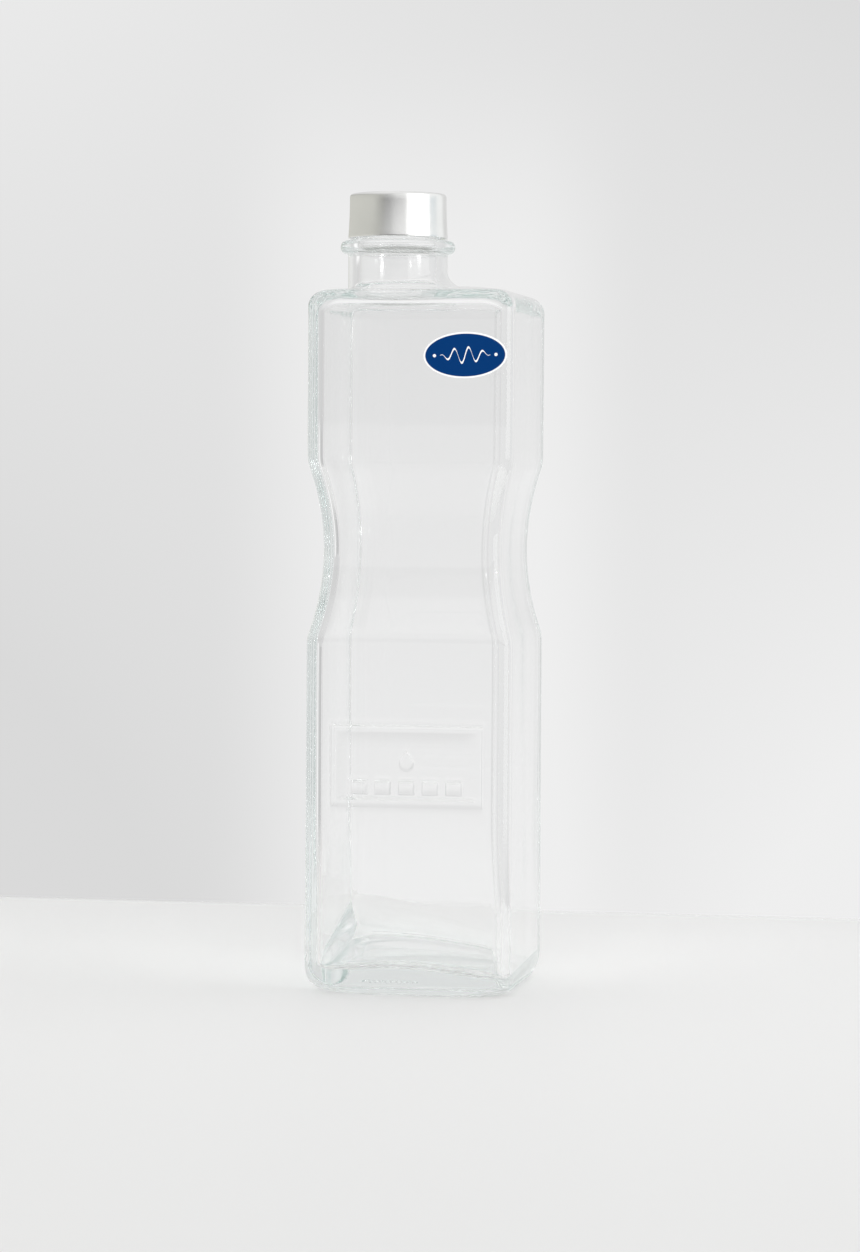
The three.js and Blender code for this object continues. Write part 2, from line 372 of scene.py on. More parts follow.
@cache
def grain_group() -> NodeTree:
    """Build the group that gives every finish its fine, uneven grain, once for all of them.

    Returns:
        A group whose height and value vary over the surface.
    """
    inputs = {"Vector": ("Vector", None), "Scale": ("Float", 100.0), "Detail": ("Float", 2.0)}
    inputs |= {"Low": ("Float", 0.0), "High": ("Float", 1.0)}
    outputs = {"Height": "Float", "Value": "Float"}
    tree, source, sink = new_group("fine_grain", TreeKind.SHADER, inputs, outputs)
    given = source.outputs
    noise = add_node(
        tree, "ShaderNodeTexNoise", Vector=given["Vector"], Scale=given["Scale"], Detail=given["Detail"]
    )
    spread = add_node(tree, "ShaderNodeMapRange", Value=noise, To_Min=given["Low"], To_Max=given["High"])
    plug(tree, noise, sink.inputs["Height"])
    plug(tree, spread, sink.inputs["Value"])
    return tree


@dataclass(frozen=True)
class Grain:
    """One use of the fine grain: how it is stretched, what values it gives, and how deep it lies."""

    scale: float
    low: float
    high: float
    depth: float = 0.02
    strength: float = 0.2
    detail: float = 2.0
    stretch: tuple[float, float, float] = (1.0, 1.0, 1.0)

    def add_to(self, tree: NodeTree) -> TreeNode:
        """Place the grain in a material, on the piece's own coordinates.

        Args:
            tree: The material's tree.

        Returns:
            The group node, with its height and its value.
        """
        coordinates = tree.nodes.new("ShaderNodeTexCoord")
        own = add_node(tree, "ShaderNodeMapping", Vector=coordinates.outputs["Object"], Scale=self.stretch)
        node = add_node(tree, "ShaderNodeGroup", node_tree=grain_group(), Vector=own)
        for label in ("Scale", "Detail", "Low", "High"):
            plug(tree, getattr(self, label.lower()), node.inputs[label])
        return node

    def bump(self, tree: NodeTree, grain: TreeNode) -> TreeNode:
        """Turn the height of the grain's node into a normal."""
        return add_node(
            tree, "ShaderNodeBump", Height=grain, Distance=self.depth * MM, Strength=self.strength
        )


def new_material(name: str) -> tuple[Material, NodeTree, TreeNode]:
    """Start a material whose nodes are empty but for its output.

    Args:
        name: The material's name.

    Returns:
        The material, its tree and its output node.
    """
    material = bpy.data.materials.new(name)
    material.use_nodes = True
    tree = material.node_tree
    tree.nodes.clear()
    return material, tree, tree.nodes.new("ShaderNodeOutputMaterial")


@dataclass(frozen=True)
class ClearGlass:
    """Clear soda glass, faintly green along its thick edges, and a little wavy from the mould."""

    name: str = "clear_glass"
    refraction: float = 1.52
    tint: Color = (0.79, 0.865, 0.85, 1.0)
    density: float = 5.0
    shade: Color = (0.972, 0.98, 0.978, 1.0)
    waves: Grain = Grain(30.0, 0.02, 0.05, depth=0.08, strength=1.0, detail=0.0, stretch=(1.0, 1.0, 0.25))

    def build(self) -> Material:
        """Build the glass.

        Returns:
            The finished material.
        """
        material, tree, output = new_material(self.name)
        waves = self.waves.add_to(tree)
        body = add_node(
            tree,
            "ShaderNodeBsdfPrincipled",
            Base_Color=WHITE,
            Roughness=waves.outputs["Value"],
            IOR=self.refraction,
            Transmission_Weight=1.0,
            Normal=self.waves.bump(tree, waves),
        )
        light = tree.nodes.new("ShaderNodeLightPath")
        clear = add_node(tree, "ShaderNodeBsdfTransparent", Color=self.shade)
        surface = mix_shaders(tree, light.outputs["Is Shadow Ray"], body, clear)
        inside = add_node(tree, "ShaderNodeVolumeAbsorption", Color=self.tint, Density=self.density)
        plug(tree, surface, output.inputs["Surface"])
        plug(tree, inside, output.inputs["Volume"])
        return material


@dataclass(frozen=True)
class SatinAluminium:
    """Drawn aluminium with a satin face, and fine turning lines round its axis."""

    name: str = "satin_aluminium"
    color_low: Color = (0.83, 0.83, 0.82, 1.0)
    color_high: Color = (0.90, 0.90, 0.89, 1.0)
    lines: Grain = Grain(5200.0, 0.0, 1.0, strength=0.35, stretch=(0.06, 0.06, 1.0))
    satin: Grain = Grain(160.0, 0.2, 0.27)

    def build(self) -> Material:
        """Build the metal.

        Returns:
            The finished material.
        """
        material, tree, output = new_material(self.name)
        lines = self.lines.add_to(tree)
        satin = self.satin.add_to(tree)
        metal = add_node(
            tree,
            "ShaderNodeBsdfPrincipled",
            Base_Color=mix_colors(tree, satin, self.color_low, self.color_high),
            Metallic=1.0,
            Roughness=satin.outputs["Value"],
            Normal=self.lines.bump(tree, lines),
        )
        plug(tree, metal, output.inputs["Surface"])
        return material


@dataclass(frozen=True)
class LabelPrint:
    """The sticker's face: a pale rim, a blue field, and a plain white ripple between two dots."""

    centre: Point
    width: float
    height: float
    tilt: float
    name: str = "label_print"
    rim: float = 0.65
    blue: Color = (0.0, 0.036, 0.16, 1.0)
    white: Color = (0.95, 0.95, 0.95, 1.0)
    shine: float = 0.06
    ripple_length: float = 19.0
    ripple_waves: float = 3.5
    ripple_height: float = 2.9
    stroke: float = 0.4
    dot_radius: float = 0.6
    dot_place: float = 11.6
    edge: float = 0.08
    paper: Grain = Grain(900.0, 0.28, 0.38)

    def build(self) -> Material:
        """Build the print.

        Returns:
            The finished material.
        """
        material, tree, output = new_material(self.name)
        coordinates = tree.nodes.new("ShaderNodeTexCoord")
        centred = add_node(
            tree,
            "ShaderNodeMapping",
            vector_type="TEXTURE",
            Vector=coordinates.outputs["Object"],
            Location=(self.centre[0] * MM, 0.0, self.centre[1] * MM),
            Rotation=(0.0, -math.radians(self.tilt), 0.0),
        )
        across, _, up = (part / MM for part in split_xyz(tree, centred))
        inner_height = self.height / 2 - self.rim
        reach = (across / (self.width / 2 - self.rim)).span(up / inner_height)
        soft = self.edge / inner_height
        motif = self.ripple(across, up).most(self.dots(across, up))
        blue = reach.fade(1.0 + soft, 1.0 - soft) * motif.rest()
        paper = self.paper.add_to(tree)
        face = add_node(
            tree,
            "ShaderNodeBsdfPrincipled",
            Base_Color=mix_colors(tree, blue, self.white, self.blue),
            Roughness=paper.outputs["Value"],
            Specular_IOR_Level=self.shine,
            Normal=self.paper.bump(tree, paper),
        )
        plug(tree, face, output.inputs["Surface"])
        return material

    def ripple(self, across: Signal, up: Signal) -> Signal:
        """Draw a ripple whose line swells on each upstroke and ends in points.

        Args:
            across: Millimetres to the right of the label's centre.
            up: Millimetres above it.

        Returns:
            One on the line and nought off it.
        """
        half = self.ripple_length / 2
        turn = across * (math.pi * self.ripple_waves / half)
        swell = (across / half).squared().rest().most(0.0)
        line = turn.math("SINE") * self.ripple_height * swell
        thick = (turn.math("COSINE") * 0.5 + 1.0) * self.stroke * swell.math("SQRT")
        return ((up - line).size() - thick).fade(self.edge, -self.edge) * across.within(half)

    def dots(self, across: Signal, up: Signal) -> Signal:
        """Draw one dot beyond each end of the ripple: one on a dot and nought off it."""
        reach = (across.size() - self.dot_place).span(up)
        return reach.fade(self.dot_radius + self.edge, self.dot_radius - self.edge)


@dataclass(frozen=True)
class PaperBack:
    """The sticker's back, which shows through the glass."""

    name: str = "label_back"
    color: Color = (0.74, 0.75, 0.76, 1.0)
    fibre: Grain = Grain(700.0, 0.5, 0.62)

    def build(self) -> Material:
        """Build the back.

        Returns:
            The finished material.
        """
        material, tree, output = new_material(self.name)
        fibre = self.fibre.add_to(tree)
        face = add_node(
            tree,
            "ShaderNodeBsdfPrincipled",
            Base_Color=self.color,
            Roughness=fibre.outputs["Value"],
            Normal=self.fibre.bump(tree, fibre),
        )
        plug(tree, face, output.inputs["Surface"])
        return material


# The bottle


@dataclass
class GlassBottle:
    """The square bottle: one closed skin from under the base, up the outside, and down the hollow."""

    width: float
    corner_radius: float = 4.0
    shoulder_z: float = 264.3
    edge_radius: float = 6.5
    waist_z: float = 166.5
    waist_half: float = 33.0
    waist_depth: float = 5.3
    waist_blend: float = 0.5
    foot_inset: float = 3.6
    foot_corner: float = 24.0
    heel_height: float = 10.0
    ring_width: float = 5.0
    groove_z: float = 2.8
    groove_depth: float = 0.5
    groove_width: float = 0.45
    push_up: float = 2.0
    ramp_width: float = 7.0
    dome: float = 1.0
    wall: float = 3.0
    inner_corner: float = 6.5
    inner_edge: float = 4.5
    shoulder_wall: float = 4.0
    heel_wall: float = 3.6
    heel_corner: float = 3.6
    floor_corner: float = 14.0
    heel_lean: float = 0.6
    heel_from: float = 66.0
    heel_to: float = 26.0
    floor_z: float = 12.6
    floor_tilt_x: float = -0.095
    floor_tilt_y: float = 0.1
    floor_twist: float = -0.0022
    floor_bow: float = -0.0022
    fillet_share: float = 0.5
    neck_x: float = -12.0
    neck_radius: float = 19.0
    bore: float = 15.0
    neck_fillet: float = 14.0
    neck_room: float = 0.4
    fillet_rise: float = 0.68
    shoulder_slope: float = 0.10
    bead_low: float = 279.2
    bead_high: float = 284.1
    bead_radius: float = 21.9
    bead_depth: float = 2.4
    bead_fullness: float = 0.8
    finish_radius: float = 16.6
    finish_step: float = 0.5
    lip_z: float = 300.8
    lip_round: float = 0.8
    panel_width: float = 58.0
    panel_height: float = 31.0
    panel_z: float = 86.0
    panel_band: float = 2.8
    panel_relief: float = 0.9
    relief_edge: float = 0.65
    tablet_count: int = 5
    tablet_width: float = 6.4
    tablet_height: float = 5.6
    tablet_gap: float = 2.6
    tablet_drop: float = 8.0
    drop_radius: float = 2.9
    drop_height: float = 8.4
    drop_rise: float = 1.2
    mark_count: int = 9
    mark_pitch: float = 2.1
    mark_radius: float = 0.8
    mark_relief: float = 0.3
    mark_x: float = -5.5
    mark_z: float = 4.6
    unevenness: float = 0.13
    wave_stretch: float = 0.35
    wave_scale: float = 45.0
    wave_from: float = 30.0
    wave_to: float = 60.0
    stations: np.ndarray = field(init=False)

    # How the stations and rings are spread: degrees, shares, millimetres and counts.
    FACE_SHARE = 22.5
    CORNER_SHARE = 45.0
    CORNER_STEPS = 16
    FACE_STEPS = 20
    TIGHT = 0.13
    DROP_PITCH = 0.5
    COARSE_PITCH = 3.0
    LEAST_PITCH = 0.1
    LEAST_SHARE = 0.001
    MOST_ROOM = 0.95
    MOST_ARC = 0.9
    STEP_SHARES = (-0.15, 0.2, 0.6, 1.1)
    MARK_COLUMNS = (-1.0, -0.4, 0.4, 1.0)
    MARK_ROWS = (-1.0, -0.5, 0.0, 0.5, 1.0)
    PANEL_ROWS = (-12.5, -3.0, 10.5)
    OUTER_GAPS = (4.0, 3.0, 8.0, 6.0)
    OUTER_ROWS = (10, 4, 50, 5)
    HOLLOW_GAPS = (8.0, 12.0, 6.0, 10.0)
    HOLLOW_ROWS = (12, 4, 40, 5)
    EDGE_GAP = 3.0
    EDGE_STEPS = 14
    CLIMB_STEPS = 14
    ROOT_STEPS = 13
    CROWN_STEPS = 8
    CONTACT_STEPS = 4
    HEEL_STEPS = 18
    GROOVE_ROWS = (-2.0, 2.0, 13)
    BEAD_TURNS = (-90, 90, 19)
    THROAT_GAPS = (-1.2, -0.4)
    FINISH_GAPS = (0.05, 6.0)
    FLOOR_STEPS = 16
    FLOOR_RINGS = 8
    FLOOR_EDGE = 0.995

    # The sizes that the moulded relief takes, its seed, and where on the bottle it may act.
    RELIEF = (
        "half panel_width panel_height panel_z panel_band panel_relief relief_edge tablet_count "
        "tablet_width tablet_height tablet_gap tablet_drop drop_radius drop_height drop_rise "
        "mark_count mark_pitch mark_radius mark_relief mark_x mark_z "
        "unevenness wave_stretch wave_scale wave_from wave_to"
    ).split()
    SEED = 7
    FRONT_DEPTH = 0.02
    FRONT_SHARE = 0.95
    MARK_CORE = 0.3

    def __post_init__(self) -> None:
        """Lay out the stations round the bottle, close together wherever the relief steps."""
        self.stations = self.lay_stations()

    @property
    def half(self) -> float:
        """Half the bottle's width."""
        return self.width / 2

    def step_lines(self, *edges: float) -> list[float]:
        """Lay lines across the two sides of each raised part, so that it keeps its rounded edge."""
        ways = zip(edges, (1, -1) * len(edges))
        return [edge + way * share * self.relief_edge for edge, way in ways for share in self.STEP_SHARES]

    def thin_out(self, lines: np.ndarray) -> np.ndarray:
        """Sort lines and leave out those that lie almost on another."""
        lines = np.sort(lines)
        return lines[np.concatenate([[True], np.diff(lines) > self.LEAST_PITCH])]

    @staticmethod
    def row_middles(count: int, pitch: float) -> np.ndarray:
        """Give the middles of a row of equal things about nought."""
        return (np.arange(count) - (count - 1) / 2) * pitch

    def drop_lines(self, low: float, height: float) -> list[float]:
        """Lay close lines over the drop, and one pitch beyond each of its ends."""
        return np.arange(low - self.DROP_PITCH, low + height + self.DROP_PITCH, self.DROP_PITCH).tolist()

    def panel_columns(self) -> np.ndarray:
        """Choose where the front face has its upright lines.

        Returns:
            The lines' places, in millimetres from the middle of the face.
        """
        outer = self.panel_width / 2
        inner = outer - self.panel_band
        flat = self.half - self.corner_radius
        lines = self.step_lines(-outer, -inner, inner, outer)
        half = self.tablet_width / 2
        for middle in self.row_middles(self.tablet_count, self.tablet_width + self.tablet_gap):
            lines += self.step_lines(middle - half, middle + half)
        lines += self.drop_lines(-self.drop_radius, 2 * self.drop_radius)
        for middle in self.mark_x + self.row_middles(self.mark_count, self.mark_pitch):
            lines += [middle + share * self.mark_radius for share in self.MARK_COLUMNS]
        lines += np.linspace(-flat, flat, round(2 * flat / self.COARSE_PITCH) + 1).tolist()
        lines += [self.TIGHT - flat, flat - self.TIGHT]
        return self.thin_out(np.array(lines))

    def lay_stations(self) -> np.ndarray:
        """Choose the angles round the neck at which every ring has a point.

        Returns:
            The angles in degrees, rising from the middle of the +X face.
        """
        flat = self.half - self.corner_radius
        angles = [270.0 + self.FACE_SHARE * self.panel_columns() / flat]
        tight = self.FACE_SHARE * (1 - self.TIGHT / flat)
        for face in range(3):
            across = np.linspace(-self.FACE_SHARE, self.FACE_SHARE, self.FACE_STEPS + 1)
            angles.append(90.0 * face + np.concatenate([across, [-tight, tight]]))
        corner = self.CORNER_SHARE * shares(self.CORNER_STEPS)[:-1]
        angles += [90.0 * face + self.FACE_SHARE + corner for face in range(4)]
        return np.unique(np.round(np.concatenate(angles) % 360.0, 5))

    def square(self, half: Length, radius: float) -> np.ndarray:
        """Draw a rounded square about the bottle's axis.

        Args:
            half: Half its width, for all stations or for each.
            radius: The radius of its corners.

        Returns:
            One row of x and y for each station.
        """
        face = np.round(self.stations / 90.0)
        offset = self.stations - 90.0 * face
        beyond = np.abs(offset) - self.FACE_SHARE
        flat = half - radius
        turn = np.radians(np.clip(beyond, 0.0, None) * 90.0 / self.CORNER_SHARE)
        out = np.where(beyond <= 0, half, flat + radius * np.cos(turn))
        bend = np.sign(offset) * (flat + radius * np.sin(turn))
        along = np.where(beyond <= 0, flat * offset / self.FACE_SHARE, bend)
        angle = np.radians(90.0 * face)
        x = out * np.cos(angle) - along * np.sin(angle)
        y = out * np.sin(angle) + along * np.cos(angle)
        return np.stack([x, y], axis=1)

    def circle(self, radius: Length) -> np.ndarray:
        """Draw a ring about the neck's axis, with one row of x and y for each station."""
        angle = np.radians(self.stations)
        return np.stack([self.neck_x + radius * np.cos(angle), radius * np.sin(angle)], axis=1)

    @staticmethod
    def lift(outline: np.ndarray, height: Length) -> np.ndarray:
        """Raise a flat outline to one height, or to a height for each of its points."""
        return np.column_stack([outline, np.broadcast_to(height, len(outline))])

    def waist_pull(self, z: float) -> float:
        """Work out how far the waist pulls the faces in.

        Args:
            z: The height.

        Returns:
            The depth of one circular arc there, eased into the straight faces at its ends.
        """
        radius = (self.waist_half**2 + self.waist_depth**2) / (2 * self.waist_depth)
        reach = min(abs(z - self.waist_z), self.MOST_ARC * radius)
        depth = math.sqrt(radius**2 - reach**2) - (radius - self.waist_depth)
        return (depth + math.sqrt(depth**2 + self.waist_blend**2)) / 2

    def wall_heights(self) -> np.ndarray:
        """Choose the heights of the rings between the heel and the shoulder.

        Returns:
            The heights, close together beside the panel and along the waist.
        """
        half, tablet = self.panel_height / 2, self.tablet_height / 2
        lines = self.step_lines(-half, self.panel_band - half, half - self.panel_band, half)
        lines += self.step_lines(-self.tablet_drop - tablet, -self.tablet_drop + tablet)
        lines += self.drop_lines(self.drop_rise - self.drop_radius, self.drop_height)
        lines += self.PANEL_ROWS
        above_heel, beside, reach, above_waist = self.OUTER_GAPS
        low, high = self.waist_z - self.waist_half - reach, self.waist_z + self.waist_half + reach
        top = self.shoulder_z - self.edge_radius
        spans = (
            (self.heel_height + above_heel, self.panel_z - half - beside),
            (self.panel_z + half + beside, low - beside),
            (low, high),
            (high + above_waist, top - self.EDGE_GAP),
        )
        rows = [np.linspace(*span, count) for span, count in zip(spans, self.OUTER_ROWS)]
        tight = [self.heel_height + self.TIGHT, top - self.TIGHT]
        return self.thin_out(np.concatenate([*rows, self.panel_z + np.array(lines), tight]))

    def neck_reach(self, half: float) -> np.ndarray:
        """Work out how far a square's sides lie from the neck's axis at each station.

        Args:
            half: Half the square's width.

        Returns:
            The distances straight out from the axis, eased at the square's corners.
        """
        angle = np.radians(self.stations)
        across, along = np.cos(angle), np.sin(angle)
        to_side = (half - self.neck_x * np.sign(across)) / np.maximum(np.abs(across), self.LEAST_SHARE)
        return soft_least(to_side, half / np.maximum(np.abs(along), self.LEAST_SHARE))

    def neck_fillets(self) -> np.ndarray:
        """Work out how far the neck's root spreads at each station, where the shoulder has room."""
        room = self.neck_reach(self.half - self.edge_radius) - self.neck_radius
        return soft_least(self.neck_fillet, self.neck_room * np.maximum(room, self.LEAST_PITCH))

    def neck_climb(self) -> np.ndarray:
        """Work out how far the shoulder climbs from its edge to the neck's root at each station."""
        reach = self.neck_reach(self.half - self.edge_radius)
        return self.shoulder_slope * (reach - self.neck_radius - self.neck_fillets())

    def shoulder_rings(self, shell: float, corner: float, edge_radius: float) -> list[np.ndarray]:
        """Sweep the rounded top edge, the shoulder that climbs to the neck, and the neck's root.

        Args:
            shell: How thick the glass is outside the surface: nought for the outer one.
            corner: The radius of the upright corners below.
            edge_radius: The radius of the top edge.

        Returns:
            The rings from the wall to the neck.
        """
        inner = shell > 0
        half = self.half - shell
        depth = self.shoulder_wall if inner else 0.0
        wall_radius = self.bore if inner else self.neck_radius
        lean = math.atan(self.shoulder_slope * QUARTER_TURN)
        low_z = self.shoulder_z - depth - edge_radius * (1 - math.cos(lean))
        rings = []
        for turn in np.linspace(0.0, QUARTER_TURN - lean, self.EDGE_STEPS + 1):
            outline = self.square(half - edge_radius * (1 - math.cos(turn)), corner)
            rings.append(self.lift(outline, low_z - edge_radius * (math.cos(lean) - math.sin(turn))))
        edge_half = half - edge_radius * (1 - math.sin(lean))
        edge = self.square(edge_half, corner)
        spread = self.neck_fillets()
        climb = self.fillet_rise * spread + depth
        if inner:
            room = self.neck_reach(edge_half) - wall_radius
            spread = soft_least(self.MOST_ROOM * room, spread + self.neck_radius - self.bore)
        root = self.circle(wall_radius + spread)
        rise = self.neck_climb()
        for share in shares(self.CLIMB_STEPS):
            height = low_z + rise * math.sin(share * QUARTER_TURN)
            rings.append(self.lift(edge + (root - edge) * share, height))
        for turn in QUARTER_TURN * shares(self.ROOT_STEPS):
            outline = self.circle(wall_radius + spread * (1 - math.sin(turn)))
            rings.append(self.lift(outline, low_z + rise + climb * (1 - math.cos(turn))))
        return rings

    def base_rings(self) -> list[np.ndarray]:
        """Sweep the recessed underside, the flat contact ring and the heel.

        Returns:
            The rings from the middle of the underside to the wall.
        """
        foot_half = self.half - self.foot_inset
        inner_corner = self.foot_corner - self.ring_width
        contact = self.square(foot_half, self.foot_corner)
        recess = self.square(foot_half - self.ring_width, inner_corner)
        crown = self.square(foot_half - self.ring_width - self.ramp_width, inner_corner - self.ramp_width)
        rings = []
        for share in shares(self.CROWN_STEPS):
            rings.append(self.lift(crown * share, self.push_up + self.dome * (1 - share**2)))
        for share in shares(self.CROWN_STEPS):
            rings.append(self.lift(crown + (recess - crown) * share, self.push_up * (1 - eased(share))))
        for share in shares(self.CONTACT_STEPS):
            rings.append(self.lift(recess + (contact - recess) * share, 0.0))
        wall = self.square(self.half, self.corner_radius)
        for z in self.heel_heights():
            turn = math.acos(1 - z / self.heel_height)
            groove = self.groove_depth * math.exp(-(((z - self.groove_z) / self.groove_width) ** 2))
            outline = contact + (wall - contact) * math.sin(turn)
            rings.append(self.lift(outline * (1 - groove / self.half), z))
        return rings

    def heel_heights(self) -> np.ndarray:
        """Choose the heights of the heel's rings.

        Returns:
            The heights, close together beside the row of marks and the groove.
        """
        groove = self.groove_z + self.groove_width * np.linspace(*self.GROOVE_ROWS)
        swept = self.heel_height * (1 - np.cos(QUARTER_TURN * shares(self.HEEL_STEPS)))
        marks = self.mark_z + self.mark_radius * np.array(self.MARK_ROWS)
        return self.thin_out(np.concatenate([swept, marks, groove]))

    def neck_rings(self) -> list[np.ndarray]:
        """Sweep the neck, its bead, the finish that the cap covers, and the lip round to the bore.

        Returns:
            The rings from the neck's root to the top of the bore.
        """
        middle = (self.bead_low + self.bead_high) / 2
        half = (self.bead_high - self.bead_low) / 2
        throat = self.bead_radius - self.bead_depth
        profile = [(self.neck_radius, self.bead_low + gap) for gap in self.THROAT_GAPS]
        for turn in np.radians(np.linspace(*self.BEAD_TURNS)):
            radius = throat + self.bead_depth * math.cos(turn) ** self.bead_fullness
            profile.append((radius, middle + half * math.sin(turn)))
        seam, straight = self.FINISH_GAPS
        profile.append((self.finish_radius + self.finish_step, self.bead_high + seam))
        for z in (self.bead_high + self.finish_step, self.bead_high + straight, self.lip_z - self.lip_round):
            profile.append((self.finish_radius, z))
        low, size = self.lip_z - self.lip_round, self.lip_round
        profile += arc((self.finish_radius - size, low), size, size, np.linspace(30, 90, 3))
        profile += arc((self.bore + size, low), -size, size, np.linspace(90, 0, 4))
        return [self.lift(self.circle(radius), z) for radius, z in profile]

    def hollow_outline(self, z: float, inset: Length = 0.0, bowl: float = 0.0) -> np.ndarray:
        """Draw the hollow's outline, whose walls thicken towards the heel and lean to one side there.

        Args:
            z: The height.
            inset: How far inside the wall the outline lies.
            bowl: How much of the floor's own corner radius it has, from nought to one.

        Returns:
            One row of x and y for each station.
        """
        share = (self.heel_from - z) / (self.heel_from - self.heel_to)
        share = eased(min(max(share, 0.0), 1.0))
        half = self.half - self.wall - (self.heel_wall - self.wall) * share - self.waist_pull(z)
        corner = self.inner_corner + (self.heel_corner - self.inner_corner) * share
        corner += (self.floor_corner - corner) * bowl
        return self.square(half - inset, corner) + np.array([self.heel_lean * share, 0.0])

    def floor_height(self, outline: np.ndarray) -> np.ndarray:
        """Work out the hollow's uneven floor.

        Args:
            outline: One row of x and y for each point.

        Returns:
            The floor's height under each point.
        """
        x, y = outline.T
        tilt = self.floor_tilt_x * x + self.floor_tilt_y * y
        return self.floor_z + tilt + self.floor_twist * x * y + self.floor_bow * x * x

    def hollow_rings(self) -> list[np.ndarray]:
        """Sweep the hollow from the bore down its wall, and over the floor to its middle.

        Returns:
            The rings in that order.
        """
        above_floor, beside, extra, above_waist = self.HOLLOW_GAPS
        reach = self.waist_half + extra
        top = self.shoulder_z - self.shoulder_wall - self.inner_edge
        spans = (
            (self.heel_to + above_floor, self.heel_from),
            (self.heel_from + beside, self.waist_z - reach - above_floor),
            (self.waist_z - reach, self.waist_z + reach),
            (self.waist_z + reach + above_waist, top - self.EDGE_GAP),
        )
        rows = [np.linspace(*span, count) for span, count in zip(spans, self.HOLLOW_ROWS)]
        rings = [self.lift(self.hollow_outline(z), z) for z in [*np.concatenate(rows), top - self.TIGHT]]
        rings += self.shoulder_rings(self.wall, self.inner_corner, self.inner_edge)
        rings.reverse()
        wall = self.hollow_outline(self.heel_to)
        fillets = self.fillet_share * self.floor_height(wall)
        rings.append(self.lift(wall, self.floor_height(wall) + fillets + self.TIGHT))
        for turn in np.linspace(0.0, QUARTER_TURN, self.FLOOR_STEPS + 1):
            bowl = 1 - math.cos(turn)
            outline = self.hollow_outline(self.heel_to, fillets * bowl, bowl)
            rings.append(self.lift(outline, self.floor_height(outline) + fillets * (1 - math.sin(turn))))
        edge = self.hollow_outline(self.heel_to, fillets, 1.0)
        for share in [self.FLOOR_EDGE, *np.linspace(1.0, 0.0, self.FLOOR_RINGS + 1)[1:-1]]:
            rings.append(self.lift(edge * share, self.floor_height(edge * share)))
        return rings

    def skin(self) -> Mesh:
        """Join all rings to one closed mesh with a point at each end.

        Returns:
            The mesh, which marks the points of its hollow.
        """
        outside = self.base_rings()
        for z in self.wall_heights():
            outline = self.square(self.half - self.waist_pull(z), self.corner_radius)
            outside.append(self.lift(outline, z))
        outside += self.shoulder_rings(0.0, self.corner_radius, self.edge_radius)
        outside += self.neck_rings()
        rings = outside + self.hollow_rings()
        first = [0.0, 0.0, self.push_up + self.dome]
        last = [0.0, 0.0, float(self.floor_height(np.zeros((1, 2)))[0])]
        points = np.vstack([[first], *rings, [last]]) * MM
        around = len(self.stations)
        here = np.arange(around)
        after = (here + 1) % around
        start = 1 + np.arange(len(rings) - 1)[:, None] * around
        quads = np.stack([start + here, start + after, start + around + after, start + around + here], axis=2)
        top = 1 + (len(rings) - 1) * around
        faces = quads.reshape(-1, 4).tolist()
        faces += np.stack([np.zeros(around, int), 1 + after, 1 + here], axis=1).tolist()
        faces += np.stack([np.full(around, len(points) - 1), top + here, top + after], axis=1).tolist()
        mesh = bpy.data.meshes.new("glass_bottle")
        mesh.from_pydata(points.tolist(), [], faces)
        mesh.shade_smooth()
        hollow = mesh.attributes.new("hollow", "FLOAT", "POINT")
        inner = np.zeros(len(points), np.float32)
        inner[1 + len(outside) * around :] = 1.0
        hollow.data.foreach_set("value", inner)
        return mesh

    def relief_tree(self) -> NodeTree:
        """Build the tree that raises the moulded panel, its drop and tablets, and the heel's marks.

        Returns:
            The geometry group, whose inputs are millimetres.
        """
        labels = {name: name.replace("_", " ").capitalize() for name in self.RELIEF}
        inputs = {"Geometry": ("Geometry", None)}
        inputs |= {label: ("Float", float(getattr(self, name))) for name, label in labels.items()}
        inputs |= {"Seed": ("Int", self.SEED), "Material": ("Material", None)}
        outputs = {"Geometry": "Geometry"}
        tree, source, sink = new_group("moulded_relief", TreeKind.GEOMETRY, inputs, outputs)
        given = SimpleNamespace(**{name: Signal(tree, source.outputs[labels[name]]) for name in labels})
        edge = given.relief_edge
        position = tree.nodes.new("GeometryNodeInputPosition")
        x, y, height = (part / MM for part in split_xyz(tree, position))
        z = height - given.panel_z
        outer = box_reach(x, z, given.panel_width, given.panel_height)
        rim = (outer * -1.0).fade(0.0, edge) * (outer + given.panel_band).fade(edge * -1.0, 0.0)
        pitch = given.tablet_width + given.tablet_gap
        row = z + given.tablet_drop
        tablet = box_reach(x.repeated(pitch), row, given.tablet_width, given.tablet_height)
        tablets = (tablet * -1.0).fade(0.0, edge) * x.within(pitch * given.tablet_count * 0.5)
        up = z - given.drop_rise
        sine = given.drop_radius / (given.drop_height - given.drop_radius)
        cosine = sine.squared().rest().math("SQRT")
        tip = (x.size() * cosine + up * sine - given.drop_radius).most(up * -1.0)
        drop = ((x.span(up) - given.drop_radius).least(tip) * -1.0).fade(0.0, edge)
        front = (y + given.half).within(self.FRONT_DEPTH)
        panel = rim.most(tablets).most(drop) * given.panel_relief * front
        along = x - given.mark_x
        reach = along.repeated(given.mark_pitch).span(height - given.mark_z)
        dots = reach.fade(given.mark_radius, given.mark_radius * self.MARK_CORE)
        dots = dots * along.within(given.mark_pitch * given.mark_count * 0.5)
        marks = dots * given.mark_relief * y.math("LESS_THAN", given.half * -self.FRONT_SHARE)
        offset = add_node(tree, "ShaderNodeCombineXYZ", Y=(panel + marks) * -MM)
        geometry = source.outputs["Geometry"]
        raised = add_node(tree, "GeometryNodeSetPosition", Geometry=geometry, Offset=offset)
        inner = height.fade(given.wave_from, given.wave_to)
        end_shape(tree, source, sink, self.uneven_wall(tree, raised, given, inner, source.outputs["Seed"]))
        return tree

